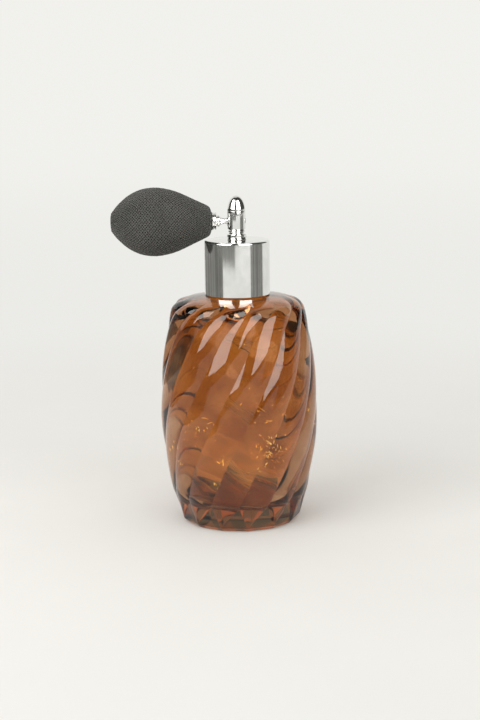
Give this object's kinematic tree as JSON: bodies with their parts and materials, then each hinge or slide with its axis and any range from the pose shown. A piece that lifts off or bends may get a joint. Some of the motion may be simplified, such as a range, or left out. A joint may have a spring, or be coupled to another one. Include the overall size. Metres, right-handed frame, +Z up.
{
  "type": "perfume atomiser bottle",
  "caption": "Swirl-ribbed amber glass perfume atomiser with a chrome screw collar, a swivelling spray head and a net-covered squeeze bulb.",
  "frame": {"origin": "centre of the bottle's foot, on the table", "axes": "+Z up the bottle, bulb along -X, spray along +X"},
  "size_m": [0.1013, 0.0786, 0.1679],
  "materials": {
    "amber_glass": "gloss",
    "white_plastic": "satin",
    "gasket_rubber": "matte",
    "clear_plastic": "gloss",
    "chrome": "polished",
    "black_plastic": "satin",
    "spring_steel": "satin",
    "brass": "satin",
    "bulb_rubber": "matte",
    "charcoal_net": "matte"
  },
  "bodies": {
    "bottle": {"glass_bottle": "amber_glass"},
    "insert": {"neck_insert": "white_plastic", "neck_gasket": "gasket_rubber", "dip_tube": "clear_plastic", "thrust_washer": "white_plastic", "swivel_base": "chrome", "swivel_seal": "gasket_rubber"},
    "collar": {"collar_shell": "chrome", "screw_cap": "black_plastic"},
    "head": {"head_body": "chrome", "head_cap": "chrome", "retaining_ring": "spring_steel", "nozzle_insert": "chrome", "air_arm": "chrome", "bulb_ferrule": "chrome", "outlet_valve_body": "brass", "outlet_valve_stop": "brass", "rubber_bulb": "bulb_rubber", "net_cover": "charcoal_net", "cover_binding": "charcoal_net"},
    "bulb_end": {"inlet_valve_body": "black_plastic", "inlet_valve_stop": "black_plastic", "net_tie": "charcoal_net"},
    "inlet_ball": {"inlet_ball": "spring_steel"},
    "outlet_ball": {"outlet_ball": "spring_steel"}
  },
  "joints": [
    {"name": "cap_turn", "type": "hinge", "parent": "insert", "child": "collar", "pos_m": [0, 0, 0.128], "axis": [0, 0, 1], "range_deg": [0, 720]},
    {"name": "cap_rise", "type": "slide", "parent": "bottle", "child": "insert", "axis": [0, 0, 1], "range_m": [0, 0.006]},
    {"name": "head_swivel", "type": "hinge", "parent": "insert", "child": "head", "pos_m": [0, 0, 0.148], "axis": [0, 0, 1], "continuous": true},
    {"name": "bulb_squeeze", "type": "slide", "parent": "head", "child": "bulb_end", "axis": [1, 0, 0], "range_m": [0, 0.015], "stiffness_N_per_m": 200, "deforming": ["rubber_bulb", "net_cover"]},
    {"name": "inlet_valve", "type": "slide", "parent": "bulb_end", "child": "inlet_ball", "axis": [1, 0, 0], "range_m": [0, 0.0008]},
    {"name": "outlet_valve", "type": "slide", "parent": "head", "child": "outlet_ball", "axis": [1, 0, 0], "range_m": [0, 0.0008]}
  ],
  "couplings": [
    {"joint": "cap_turn", "follows": "cap_rise", "rad_per_m": 2094.4}
  ]
}
